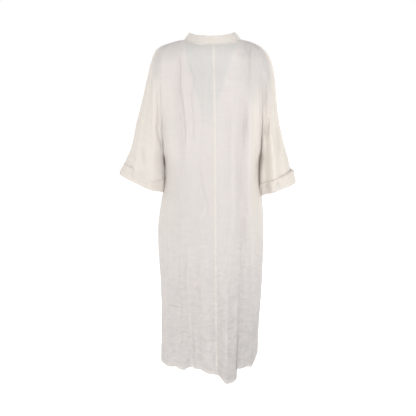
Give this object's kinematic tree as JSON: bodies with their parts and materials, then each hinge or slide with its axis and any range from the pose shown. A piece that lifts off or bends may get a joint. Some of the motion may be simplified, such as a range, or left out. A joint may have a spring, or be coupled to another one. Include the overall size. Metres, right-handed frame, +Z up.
{
  "type": "midi dress",
  "caption": "Loose straight linen midi dress with band collar, open V front, cut-on elbow sleeves with turned-up cuffs, centre back seam and side slits, in its hollow worn form.",
  "frame": {"origin": "between the shoulders at the height where they carry the cloth, in the middle of the neck opening", "axes": "+Z up, the front faces -Y and the back +Y, the wearer's left is +X"},
  "size_m": [0.5842, 0.2654, 1.1259],
  "materials": {
    "cloth": "off-white linen, light and slightly see-through, matt",
    "double_cloth": "the same linen doubled, a little creamier"
  },
  "bodies": {
    "root": {"back_left": "cloth", "back_right": "cloth", "front": "cloth", "collar": "double_cloth", "cuff_left": "double_cloth", "cuff_right": "double_cloth"}
  },
  "joints": []
}
